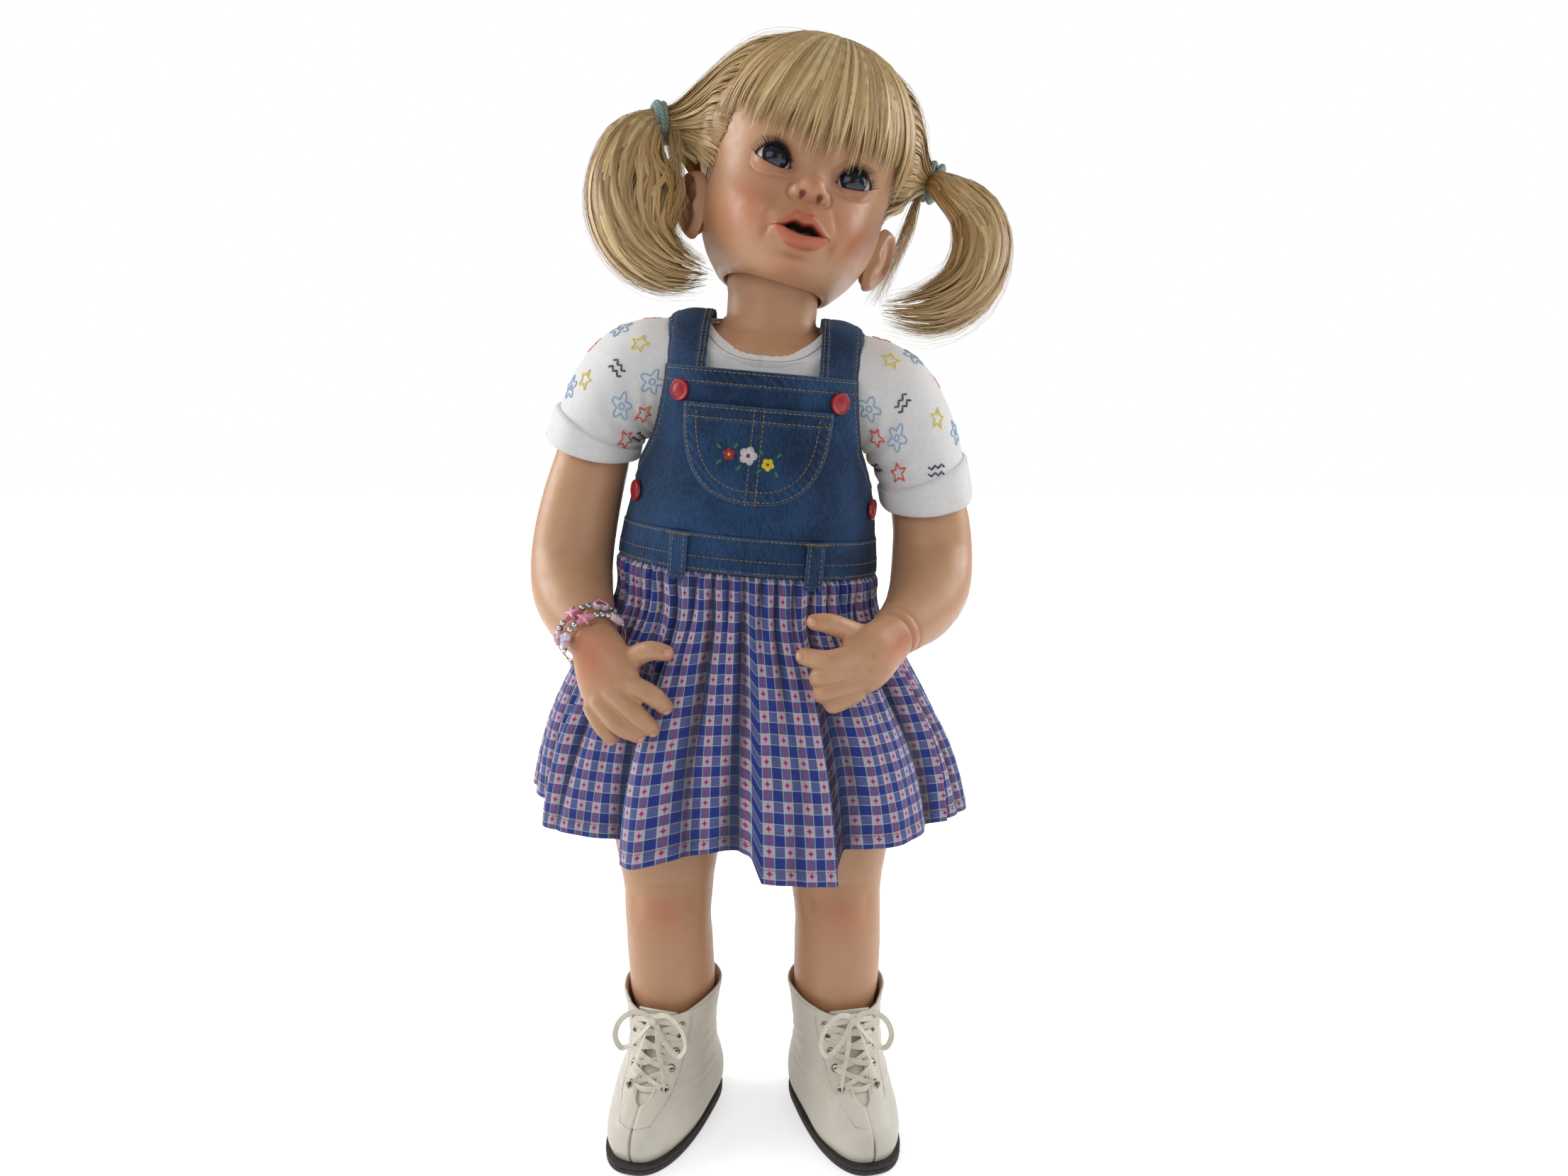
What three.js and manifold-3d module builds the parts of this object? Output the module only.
// Vinyl artist doll of the 92 cm class, standing, with a jointed neck, shoulders and hips.
// Millimetres, +Z up, the doll faces -Y, and its own left side is +X.
// The upper body leans a few degrees to +X, so it has a frame of its own; the head has another.

import * as THREE from 'three';
import { mergeVertices } from 'three/addons/utils/BufferGeometryUtils.js';
import Module from 'manifold-3d';

const wasm = await Module();
wasm.setup();

// Driving dimensions
const GAP = 0.3;                  // gap between pieces that touch
const WAIST_X = -5.5;             // mid-line of the waist
const WAIST_Z = 500;              // height of the waist seam
const UPPER_LEAN = 5;             // degrees that the upper body leans to +X
const BODY_Y = 4;                 // the neck and chest sit this far behind the legs' line
const ORIGIN_SHIFT_X = -5.5;        // moves the doll so that its box is centred on the origin
const ORIGIN_SHIFT_Y = 2;

const NECK_RADIUS = 36.5;
const KNOB_RADIUS = 42;           // round knob on top of the neck
const KNOB_X = 2.6;
const KNOB_Z = 228;               // knob centre above the waist seam
const KNOB_TOP = 20;              // flat top of the knob above its centre
const NECK_DISC_RADIUS = 30;
const ROCKER_THICKNESS = 3;
const HEAD_ROLL = 14;             // head leans to its left
const HEAD_PITCH = 12;            // chin up
const HEAD_YAW = 8;               // face turned to its left
const HEAD_WALL = 4;
const RIM_LOW = -8;               // neck hole of the head, as elevations round the knob
const RIM_HIGH = 5;

const EYE_X = 31;
const EYE_Y = -70;
const EYE_Z = 70;
const EYE_RADIUS = 15;
const EYE_OPENING_WIDTH = 27;
const EYE_OPENING_HEIGHT = 21;
const LASH_LENGTH = 6;
const LASH_THICKNESS = 0.8;

const CAP_GAP = 0.4;
const CAP_THICKNESS = 1.2;
const HAIR_THICKNESS = 7;
const DOME_START = 2;             // ring of the head where the hair's dome starts
const FRINGE_THICKNESS = 5;
const TIE_RADIUS = 13;            // the hair inside a tie
const TIE_THICKNESS = 4;
const TIE_WIDTH = 13;

const VINYL_WALL = 4;
const SHOULDER_Z = 150;           // shoulder axis above the waist seam
const SHOULDER_BALL_X = 104;
const SHOULDER_BALL_RADIUS = 27;
const SHOULDER_FACE_X = 84.6;     // flat inner face of the arm
const CHEST_SIDE_X = 76;
const SHOULDER_DISC_RADIUS = 17;
const HIP_X = -5;
const HIP_Z = 395;
const HIP_BALL_X = 82;
const HIP_BALL_RADIUS = 46;
const HIP_FACE_X = 40.7;
const PELVIS_SIDE_X = 34;
const HIP_DISC_RADIUS = 22;
const BOLT_RADIUS = 4;
const BOLT_HEAD_RADIUS = 9;
const BOLT_HEAD_THICKNESS = 3;
const LIMB_OPENING_RADIUS = 10;

const SHIRT_THICKNESS = 2;
const ARMHOLE_RADIUS = 40;
const NECKBAND_WIDTH = 11;         // at the front
const NECKBAND_RISE = 5;           // at the sides and back
const NECKBAND_DRAW = 2.5;           // how far the band draws in
const CUFF_THICKNESS = 2.6;
const DENIM_THICKNESS = 2.4;
const WAISTBAND_HEIGHT = 30;
const BIB_TOP_Z = 157;
const BIB_HALF_ANGLE = 58;
const DRESS_SIDE_TOP_Z = 72;
const BACK_TOP_Z = 150;
const STRAP_WIDTH = 34;
const STRAP_MIDDLE_X = 61;
const STRAP_THICKNESS = 2.2;
const STRAP_LIFT = 3.8;           // its middle above the T-shirt
const POCKET_HALF_WIDTH = 58;
const POCKET_TOP_Z = 130;
const POCKET_HEIGHT = 74.5;
const POCKET_THICKNESS = 1.5;
const BUTTON_RADIUS = 8.5;
const BUTTON_THICKNESS = 4;
const BIB_BUTTON_X = 61;
const BIB_BUTTON_Z = 138;
const SIDE_BUTTON_ANGLE = 74;
const SIDE_BUTTON_Z = 55;
const BELT_LOOP_X = 54;
const BELT_LOOP_WIDTH = 14;
const BELT_LOOP_HEIGHT = 36;
const BELT_LOOP_THICKNESS = 1.8;
const SKIRT_THICKNESS = 1.6;
const SKIRT_FOLDS = 11;
const SKIRT_COLUMNS = 52;
const SKIRT_BANDS = 4;

const TOE_OUT = 15;
const BOOT_X = 73.5;
const BOOT_MID_X = -1.5;
const BOOT_WALL = 2.6;
const SOLE_THICKNESS = 9;
const LACE_WIDTH = 5;
const LACE_THICKNESS = 1.4;
const LACE_LIFT = 1.4;            // its middle above the boot
const LACE_CROSSINGS = 4;
const LACE_LOW = 56;
const LACE_HIGH = 102;
const BEAD_RADIUS = 2.2;
const CHARM_RADIUS = 5;
const BRACELET_BEADS = 12;

const LIMB_SIDES = 10;
const HOLLOW_SIDES = 8;
const ROUND_SIDES = 12;
const HEAD_COLUMNS = 20;
const EYE_SIDES = 14;
const EYE_BANDS = 8;
const BODY_COLUMNS = 20;

// Colours as in the photograph
const FINISH = {
  vinyl: [0xc4946f, 0.55, 0],
  eye: [0x2a3550, 0.1, 0],
  lash: [0x2c1e16, 0.8, 0],
  hair: [0xc2a878, 0.5, 0],
  net: [0x8a6f4a, 0.9, 0],
  tie: [0x9fbfba, 0.9, 0],
  core: [0xd8cdbd, 0.9, 0],
  disc: [0xe6e2d8, 0.5, 0],
  bolt: [0xb5b8bb, 0.3, 1],
  jersey: [0xf0f0ee, 0.9, 0],
  denim: [0x1f3f73, 0.9, 0],
  button: [0xa81222, 0.25, 0],
  gingham: [0x6a76ad, 0.9, 0],
  boot: [0xeeebdf, 0.45, 0],
  sole: [0x1c1b1c, 0.6, 0],
  lace: [0xf2eedd, 0.4, 0],
  bead: [0xe7a9a4, 0.3, 0],
};

const rad = (degrees) => THREE.MathUtils.degToRad(degrees);
const vec = (x, y, z) => new THREE.Vector3(x, y, z);
const lerp = (a, b, t) => a + (b - a) * t;
const upperFrame = new THREE.Matrix4()
  .makeTranslation(WAIST_X, 0, WAIST_Z)
  .multiply(new THREE.Matrix4().makeRotationY(rad(UPPER_LEAN)));
const upper = (x, y, z) => vec(x, y, z).applyMatrix4(upperFrame);

// Point between the values of a smooth curve through a list of equally spaced values
function smoothValue(values, t) {
  const last = values.length - 1;
  const i = Math.min(Math.max(Math.floor(t), 0), last - 1);
  const u = t - i;
  const [p0, p1, p2, p3] = [i - 1, i, i + 1, i + 2].map((k) => values[Math.min(Math.max(k, 0), last)]);
  const slope = (p2 - p0) / 2;
  const nextSlope = (p3 - p1) / 2;
  const a = 2 * u ** 3 - 3 * u ** 2 + 1;
  const b = u ** 3 - 2 * u ** 2 + u;
  const c = -2 * u ** 3 + 3 * u ** 2;
  const d = u ** 3 - u ** 2;
  return a * p1 + b * slope + c * p2 + d * nextSlope;
}

// Value at x on a curve of straight stretches through [x, value] pairs
function valueAt(pairs, x) {
  if (x <= pairs[0][0]) return pairs[0][1];
  for (let i = 1; i < pairs.length; i += 1) {
    const [x0, v0] = pairs[i - 1];
    const [x1, v1] = pairs[i];
    if (x <= x1) return lerp(v0, v1, (x - x0) / (x1 - x0));
  }
  return pairs[pairs.length - 1][1];
}

// Closed solid from points and triangles, turned so that its faces point out
function solid(points, triangles) {
  let volume = 0;
  for (const [a, b, c] of triangles) volume += points[a].dot(points[b].clone().cross(points[c]));
  const turned = volume < 0 ? triangles.map(([a, b, c]) => [a, c, b]) : triangles;
  const geometry = new THREE.BufferGeometry();
  const positions = points.flatMap((p) => [p.x, p.y, p.z]);
  geometry.setAttribute('position', new THREE.Float32BufferAttribute(positions, 3));
  geometry.setIndex(turned.flat());
  return geometry;
}

// Solid through a list of rings with as many points each. Its ends are closed by points, or it is a loop
function loft(rings, { loop = false, tips = [] } = {}) {
  const count = rings[0].length;
  const points = rings.flat();
  const triangles = [];
  const bands = loop ? rings.length : rings.length - 1;
  for (let i = 0; i < bands; i += 1) {
    const here = i * count;
    const next = ((i + 1) % rings.length) * count;
    for (let j = 0; j < count; j += 1) {
      const k = (j + 1) % count;
      triangles.push([here + j, here + k, next + k], [here + j, next + k, next + j]);
    }
  }
  if (loop) return solid(points, triangles);
  [[rings[0], 0], [rings[rings.length - 1], (rings.length - 1) * count]].forEach(([ring, start], end) => {
    const middle = ring.reduce((sum, p) => sum.add(p), vec(0, 0, 0)).divideScalar(count);
    points.push(tips[end] ?? middle);
    for (let j = 0; j < count; j += 1) {
      const pair = [start + j, start + ((j + 1) % count)];
      triangles.push([points.length - 1, ...(end === 0 ? pair.reverse() : pair)]);
    }
  });
  return solid(points, triangles);
}

// Sheet of a given thickness: columns of outer and inner points, side by side
function panel(columns) {
  const rows = columns[0].outer.length;
  const points = columns.flatMap(({ outer, inner }) => [...outer, ...inner]);
  const triangles = [];
  const quad = (a, b, c, d) => triangles.push([a, b, c], [a, c, d]);
  const out = (i, j) => i * rows * 2 + j;
  const inn = (i, j) => i * rows * 2 + rows + j;
  const last = columns.length - 1;
  for (let i = 0; i < last; i += 1) {
    for (let j = 0; j < rows - 1; j += 1) {
      quad(out(i, j), out(i + 1, j), out(i + 1, j + 1), out(i, j + 1));
      quad(inn(i, j), inn(i, j + 1), inn(i + 1, j + 1), inn(i + 1, j));
    }
    quad(out(i, 0), inn(i, 0), inn(i + 1, 0), out(i + 1, 0));
    quad(out(i, rows - 1), out(i + 1, rows - 1), inn(i + 1, rows - 1), inn(i, rows - 1));
  }
  for (let j = 0; j < rows - 1; j += 1) {
    quad(out(0, j), out(0, j + 1), inn(0, j + 1), inn(0, j));
    quad(out(last, j), inn(last, j), inn(last, j + 1), out(last, j + 1));
  }
  return solid(points, triangles);
}

function toManifold(geometry) {
  const bare = geometry.clone();
  bare.deleteAttribute('normal');
  bare.deleteAttribute('uv');
  const merged = mergeVertices(bare, 1e-4);
  return new wasm.Manifold(new wasm.Mesh({
    numProp: 3,
    vertProperties: new Float32Array(merged.attributes.position.array),
    triVerts: new Uint32Array(merged.index.array),
  }));
}

function fromManifold(manifold) {
  const mesh = manifold.getMesh();
  const geometry = new THREE.BufferGeometry();
  const positions = [];
  for (let i = 0; i < mesh.vertProperties.length; i += mesh.numProp) {
    positions.push(mesh.vertProperties[i], mesh.vertProperties[i + 1], mesh.vertProperties[i + 2]);
  }
  geometry.setAttribute('position', new THREE.Float32BufferAttribute(positions, 3));
  geometry.setIndex(Array.from(mesh.triVerts));
  return geometry;
}

function combine(base, added = [], removed = []) {
  let result = toManifold(base);
  for (const geometry of added) result = result.add(toManifold(geometry));
  for (const geometry of removed) result = result.subtract(toManifold(geometry));
  return fromManifold(result);
}

// Level ring round the body. Angle 0 is the front (-Y) and 90 is the doll's left (+X);
// w, f and b are its half width and its depth to the front and to the back,
// and zf, zs and zb its heights at the front, sides and back
function bodyPoint({ w, f, b = f, z, zf = z, zs = z, zb = z, cx = 0, cy = 0, n = 2 }, angle) {
  const s = Math.sin(angle);
  const c = Math.cos(angle);
  const x = w * Math.sign(s) * Math.abs(s) ** (2 / n);
  const y = -(c > 0 ? f : b) * Math.sign(c) * Math.abs(c) ** (2 / n);
  const height = lerp(zs, c > 0 ? zf : zb, c * c);
  return vec(cx + x, cy + y, height);
}

function bodyRing(sizes, columns) {
  return Array.from({ length: columns }, (_, i) => bodyPoint(sizes, (i / columns) * 2 * Math.PI));
}

const offsetRing = (sizes, t) => ({ ...sizes, w: sizes.w + t, f: sizes.f + t, b: (sizes.b ?? sizes.f) + t });

const raisedRing = (ring, up) => ({ ...ring, zf: ring.zf + up, zs: ring.zs + up, zb: ring.zb + up });

// Sizes of a body ring at a place along a table of rings
function ringAt(table, t) {
  const sizes = {};
  for (const key of Object.keys(table[0])) sizes[key] = smoothValue(table.map((row) => row[key]), t);
  return sizes;
}

// Ring of two radii round a place on a path, square to its direction
function pathRing(center, direction, side, sideRadius, otherRadius, sides, squareness = 2) {
  const other = direction.clone().cross(side).normalize();
  const across = other.clone().cross(direction).normalize();
  return Array.from({ length: sides }, (_, i) => {
    const angle = (i / sides) * 2 * Math.PI;
    const c = Math.cos(angle);
    const s = Math.sin(angle);
    const u = Math.sign(c) * Math.abs(c) ** (2 / squareness) * sideRadius;
    const v = Math.sign(s) * Math.abs(s) ** (2 / squareness) * otherRadius;
    return center.clone().addScaledVector(across, u).addScaledVector(other, v);
  });
}

// Rings through stations { at, r, side, heading }, where r is one radius or two
function stationRings(stations, sides, shrink = 0) {
  return stations.map(({ at, r, side = vec(1, 0, 0), heading }, i) => {
    const before = stations[Math.max(i - 1, 0)].at;
    const after = stations[Math.min(i + 1, stations.length - 1)].at;
    const direction = heading ?? after.clone().sub(before).normalize();
    const [sideRadius, otherRadius] = Array.isArray(r) ? r : [r, r];
    return pathRing(at, direction, side, sideRadius - shrink, otherRadius - shrink, sides);
  });
}

const tube = (stations, sides, shrink) => loft(stationRings(stations, sides, shrink));

// Cylinder or sphere placed in the parts' own frame
function cylinderAlong(from, to, radius, sides = ROUND_SIDES) {
  const length = from.distanceTo(to);
  const geometry = new THREE.CylinderGeometry(radius, radius, length, sides);
  const turn = new THREE.Quaternion().setFromUnitVectors(vec(0, 1, 0), to.clone().sub(from).normalize());
  const middle = from.clone().add(to).multiplyScalar(0.5);
  return geometry.applyMatrix4(new THREE.Matrix4().compose(middle, turn, vec(1, 1, 1)));
}

function ballAt(center, radii, sides = 10, bands = 8) {
  const [rx, ry, rz] = Array.isArray(radii) ? radii : [radii, radii, radii];
  const geometry = new THREE.SphereGeometry(1, sides, bands);
  geometry.rotateX(Math.PI / 2);
  geometry.scale(rx, ry, rz);
  return geometry.translate(center.x, center.y, center.z);
}

const doll = new THREE.Group();
doll.position.set(ORIGIN_SHIFT_X, ORIGIN_SHIFT_Y, 0);

const upperBody = new THREE.Group();
upperBody.applyMatrix4(upperFrame);
doll.add(upperBody);

const knobCenter = upper(KNOB_X, BODY_Y, KNOB_Z);
const headTurn = new THREE.Euler(rad(-HEAD_PITCH), rad(HEAD_ROLL), rad(HEAD_YAW), 'YXZ');
const headPose = new THREE.Matrix4().compose(
  knobCenter,
  new THREE.Quaternion().setFromEuler(headTurn),
  vec(1, 1, 1),
);
const headGroup = new THREE.Group();
headGroup.applyMatrix4(headPose);
doll.add(headGroup);

function addPiece(group, name, geometry, finish) {
  const [color, roughness, metalness] = FINISH[finish];
  const mesh = new THREE.Mesh(geometry, new THREE.MeshStandardMaterial({ color, roughness, metalness }));
  mesh.name = name;
  group.add(mesh);
}

// Head: rings from the neck hole to the crown, in the head's own frame with the knob's centre as origin
const HEAD_RINGS = [
  { w: 50, f: 57, b: 51, zf: -20, zs: -9, zb: -3, n: 2 },
  { w: 57, f: 68, b: 58, zf: -28, zs: -6, zb: 3, n: 2.1 },
  { w: 64, f: 80, b: 67, zf: -25, zs: 3, zb: 14, n: 2.2 },
  { w: 68, f: 87, b: 76, zf: -12, zs: 16, zb: 28, n: 2.3 },
  { w: 71, f: 90, b: 84, zf: 6, zs: 32, zb: 46, n: 2.3 },
  { w: 72, f: 91, b: 90, zf: 24, zs: 48, zb: 64, n: 2.3 },
  { w: 73, f: 87, b: 94, zf: 46, zs: 66, zb: 84, n: 2.3 },
  { w: 76, f: 86, b: 96, zf: 66, zs: 86, zb: 104, n: 2.3 },
  { w: 80, f: 90, b: 96, zf: 90, zs: 108, zb: 124, n: 2.2 },
  { w: 82, f: 93, b: 93, zf: 114, zs: 130, zb: 143, n: 2.1 },
  { w: 79, f: 91, b: 84, zf: 138, zs: 152, zb: 160, n: 2 },
  { w: 69, f: 80, b: 70, zf: 162, zs: 171, zb: 175, n: 2 },
  { w: 52, f: 60, b: 50, zf: 182, zs: 187, zb: 188, n: 2 },
  { w: 28, f: 33, b: 27, zf: 195, zs: 196.5, zb: 196, n: 2 },
];
const CROWN = HEAD_RINGS.length - 1;
const HEAD_TOP = 200;
const HEAD_MIDDLE = vec(0, 0, 95);

// Point of the head's surface at an angle and a place between the rings, moved out by a distance
function headPoint(degrees, t, out = 0) {
  const point = bodyPoint(ringAt(HEAD_RINGS, t), rad(degrees));
  const away = point.clone().sub(HEAD_MIDDLE).normalize();
  return point.addScaledVector(away, out);
}

function headShell() {
  const seat = (KNOB_RADIUS + GAP * 2) / Math.cos(Math.PI / HEAD_COLUMNS);
  const rim = (elevation, radius) => bodyRing({
    w: radius * Math.cos(rad(elevation)),
    f: radius * Math.cos(rad(elevation)),
    z: radius * Math.sin(rad(elevation)),
  }, HEAD_COLUMNS);
  const inside = HEAD_RINGS.map((ring, i) => {
    const lift = i < 4 ? HEAD_WALL : 0;
    const drop = i > CROWN - 3 ? -HEAD_WALL : 0;
    return bodyRing(offsetRing(raisedRing(ring, lift + drop), -HEAD_WALL), HEAD_COLUMNS);
  }).filter((_, i) => i < 4 || i % 2 === 1).reverse();
  const rings = [
    ...inside,
    rim(RIM_HIGH, seat),
    rim(RIM_LOW, seat),
    rim(RIM_LOW - 1, seat + HEAD_WALL),
    ...HEAD_RINGS.map((ring) => bodyRing(ring, HEAD_COLUMNS)),
  ];
  const shell = loft(rings, { tips: [vec(0, 0, HEAD_TOP - HEAD_WALL), vec(0, 0, HEAD_TOP)] });
  const nose = [ballAt(vec(0, -92, 43), [12, 12, 10], 8, 6), ballAt(vec(0, -84, 56), [7, 10, 16], 6, 6)];
  const lips = [ballAt(vec(0, -89, 22), [17, 7, 5], 10, 4), ballAt(vec(0, -88, 8), [15, 8, 5.5], 10, 4)];
  const added = [...nose, ...lips];
  const removed = [ballAt(vec(0, -94, 15), [11, 14, 3.2], 8, 4)];
  for (const side of [-1, 1]) {
    added.push(ballAt(vec(side * 7.5, -93, 41), [6, 7, 6], 6, 4));
    added.push(ballAt(vec(side * 76, 2, 44), [9, 14, 25], 8, 6));
    removed.push(ballAt(vec(side * EYE_X, EYE_Y, EYE_Z), EYE_RADIUS + GAP, EYE_SIDES, EYE_BANDS));
    removed.push(ballAt(
      vec(side * EYE_X, EYE_Y - EYE_RADIUS, EYE_Z),
      [EYE_OPENING_WIDTH / 2, EYE_RADIUS, EYE_OPENING_HEIGHT / 2],
      10,
      8,
    ));
  }
  return combine(shell, added, removed);
}

function eyelash(side) {
  const columns = Array.from({ length: 9 }, (_, i) => {
    const u = i / 8;
    const arch = Math.sin(Math.PI * u);
    const root = headPoint(side * lerp(12, 35, u), 7.1 + 0.42 * arch, 0);
    const tip = root.clone().add(vec(side * lerp(-1, 3, u), -LASH_LENGTH, 1 + 2 * arch));
    const thick = vec(0, 0, LASH_THICKNESS);
    return { outer: [root, tip], inner: [root.clone().sub(thick), tip.clone().sub(thick)] };
  });
  return panel(columns);
}

// The hair's lower edge, as a place between the head's rings, for an angle from the front
const SIDE_AND_BACK_EDGE = [[90, 7.9], [105, 7.6], [135, 5.2], [180, 3.4]];
const NET_EDGE = [[0, 8.7], [54, 8.7], [75, 7.6], ...SIDE_AND_BACK_EDGE];
const HAIRLINE = [[0, 10.6], [54, 10.6], [72, 7.8], ...SIDE_AND_BACK_EDGE];
const FRINGE_TOP = 10.5;
const FRINGE_HALF_ANGLE = 54;
const FRINGE_LOW = 8;
const HAIR_INNER = CAP_GAP + CAP_THICKNESS + GAP * 1.5;
const HAIR_OUTER = HAIR_INNER + HAIR_THICKNESS;

// Solid in the shape of the head without its chin, swollen by a distance
function headDome(out) {
  const places = Array.from({ length: HEAD_RINGS.length - DOME_START }, (_, i) => i + DOME_START);
  const rings = places.map((t) => (
    Array.from({ length: HEAD_COLUMNS }, (_, i) => headPoint((i / HEAD_COLUMNS) * 360, t, out))
  ));
  return loft(rings, { tips: [vec(0, 0, 0), vec(0, 0, HEAD_TOP + out)] });
}

// Everything below a hairline, as seen from the middle of the head
function belowHairline(hairline) {
  const reach = 2;
  const ring = Array.from({ length: HEAD_COLUMNS }, (_, i) => {
    const angle = (i / HEAD_COLUMNS) * 360;
    const point = headPoint(angle, valueAt(hairline, Math.min(angle, 360 - angle)));
    return HEAD_MIDDLE.clone().addScaledVector(point.sub(HEAD_MIDDLE), reach);
  });
  return loft([ring], { tips: [HEAD_MIDDLE, vec(0, 0, -HEAD_TOP * 3)] });
}

const crownShell = (hairline, inner, outer) => (
  combine(headDome(outer), [], [headDome(inner), belowHairline(hairline)])
);

function wigFringe() {
  const places = [FRINGE_LOW, FRINGE_LOW + 1, FRINGE_LOW + 2, FRINGE_TOP];
  const count = (2 * FRINGE_HALF_ANGLE * HEAD_COLUMNS) / 360;
  const columns = Array.from({ length: count + 1 }, (_, i) => {
    const angle = lerp(-FRINGE_HALF_ANGLE, FRINGE_HALF_ANGLE, i / count);
    const along = (out) => places.map((t) => headPoint(angle, t, out));
    return { outer: along(HAIR_INNER + FRINGE_THICKNESS), inner: along(HAIR_INNER) };
  });
  return panel(columns);
}

// Pigtails: the root lies on the hair in the head's frame, the tail's route is given in the doll's frame
const toHeadFrame = headPose.clone().invert();
const fromDoll = (x, y, z) => vec(x, y, z).applyMatrix4(toHeadFrame);
const TIE_PLACE = { right: vec(-112, 22, 100), left: vec(107, 22, 101) };
const TAIL_ROOT = { right: vec(-84, 18, 108), left: vec(84, 18, 107) };
const TAIL_ROUTE = {
  right: [
    [fromDoll(-97, 12, 838), [17, 22]],
    [fromDoll(-108, 4, 812), [24, 27]],
    [fromDoll(-109, -4, 782), [29, 29]],
    [fromDoll(-95, -12, 752), [28, 28]],
    [fromDoll(-68, -20, 733), [19, 21]],
    [fromDoll(-34, -26, 728), [7, 8]],
  ],
  left: [
    [fromDoll(163, 4, 797), [12, 15]],
    [fromDoll(179, -6, 778), [16, 20]],
    [fromDoll(182, -20, 750), [20, 22]],
    [fromDoll(168, -34, 721), [22, 22]],
    [fromDoll(139, -46, 704), [18, 19]],
    [fromDoll(102, -54, 703), [7, 8]],
  ],
};

function tailStations(side) {
  const up = vec(0, 1, 0);
  const root = TAIL_ROOT[side];
  const tie = TIE_PLACE[side];
  const heading = tie.clone().sub(root).normalize();
  const stations = [
    { at: root, r: [22, 26], side: up },
    { at: root.clone().lerp(tie, 0.45), r: [17, 19], side: up },
    { at: tie.clone().addScaledVector(heading, -TIE_WIDTH * 0.6), r: TIE_RADIUS, side: up, heading },
    { at: tie.clone().addScaledVector(heading, TIE_WIDTH * 0.6), r: TIE_RADIUS, side: up, heading },
  ];
  for (const [at, r] of TAIL_ROUTE[side]) stations.push({ at, r, side: up });
  return stations;
}

function pigtail(side) {
  return combine(tube(tailStations(side), LIMB_SIDES), [], [headDome(HAIR_OUTER + GAP)]);
}

function hairTie(side) {
  const tie = TIE_PLACE[side];
  const direction = tie.clone().sub(TAIL_ROOT[side]).normalize();
  const placeAlong = (along) => tie.clone().addScaledVector(direction, along);
  const ring = (along, radius) => (
    pathRing(placeAlong(along), direction, vec(0, 1, 0), radius, radius, LIMB_SIDES)
  );
  const half = TIE_WIDTH / 2;
  const inner = TIE_RADIUS + GAP;
  const outer = inner + TIE_THICKNESS;
  return loft([
    ring(-half, inner + 1), ring(-half * 0.6, outer), ring(half * 0.6, outer),
    ring(half, inner + 1), ring(half, inner), ring(-half, inner),
  ], { loop: true });
}

addPiece(headGroup, 'head_shell', headShell(), 'vinyl');
addPiece(headGroup, 'wig_cap', crownShell(NET_EDGE, CAP_GAP, CAP_GAP + CAP_THICKNESS), 'net');
addPiece(headGroup, 'wig_hair', crownShell(HAIRLINE, HAIR_INNER, HAIR_OUTER), 'hair');
addPiece(headGroup, 'wig_fringe', wigFringe(), 'hair');
for (const [name, side] of [['left', 1], ['right', -1]]) {
  const eye = ballAt(vec(side * EYE_X, EYE_Y, EYE_Z), EYE_RADIUS, EYE_SIDES, EYE_BANDS);
  addPiece(headGroup, `eye_${name}`, eye, 'eye');
  addPiece(headGroup, `eyelash_${name}`, eyelash(side), 'lash');
  addPiece(headGroup, `pigtail_${name}`, pigtail(name), 'hair');
  addPiece(headGroup, `hair_tie_${name}`, hairTie(name), 'tie');
}

// Neck joint: a domed disc that turns on the knob and a rocker cap on its dome
const NECK_DISC_LOW = KNOB_TOP + GAP;
const NECK_DOME_RADIUS = Math.hypot(NECK_DISC_RADIUS, NECK_DISC_LOW);

// Profile points on a sphere round the knob's centre, from its top outwards
const DOME_STEPS = 4;
const DOME_END = 36;
const DOME_SIDES = 36;
const domeArc = (radius) => Array.from({ length: DOME_STEPS + 1 }, (_, step) => {
  const angle = rad(DOME_END * step / DOME_STEPS);
  return new THREE.Vector2(radius * Math.sin(angle), radius * Math.cos(angle));
});

function neckDisc() {
  const rim = [new THREE.Vector2(0, NECK_DISC_LOW), new THREE.Vector2(NECK_DISC_RADIUS, NECK_DISC_LOW)];
  const disc = new THREE.LatheGeometry([...rim, ...domeArc(NECK_DOME_RADIUS).reverse()], DOME_SIDES);
  return disc.rotateX(Math.PI / 2).translate(KNOB_X, BODY_Y, KNOB_Z);
}

function neckRocker() {
  const inside = NECK_DOME_RADIUS + GAP * 1.5;
  const profile = [...domeArc(inside), ...domeArc(inside + ROCKER_THICKNESS).reverse()];
  const cap = new THREE.LatheGeometry(profile, DOME_SIDES);
  return cap.rotateX(Math.PI / 2).translate(KNOB_X, BODY_Y, KNOB_Z);
}

addPiece(upperBody, 'neck_disc', neckDisc(), 'disc');
addPiece(upperBody, 'neck_rocker', neckRocker(), 'disc');

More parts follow.
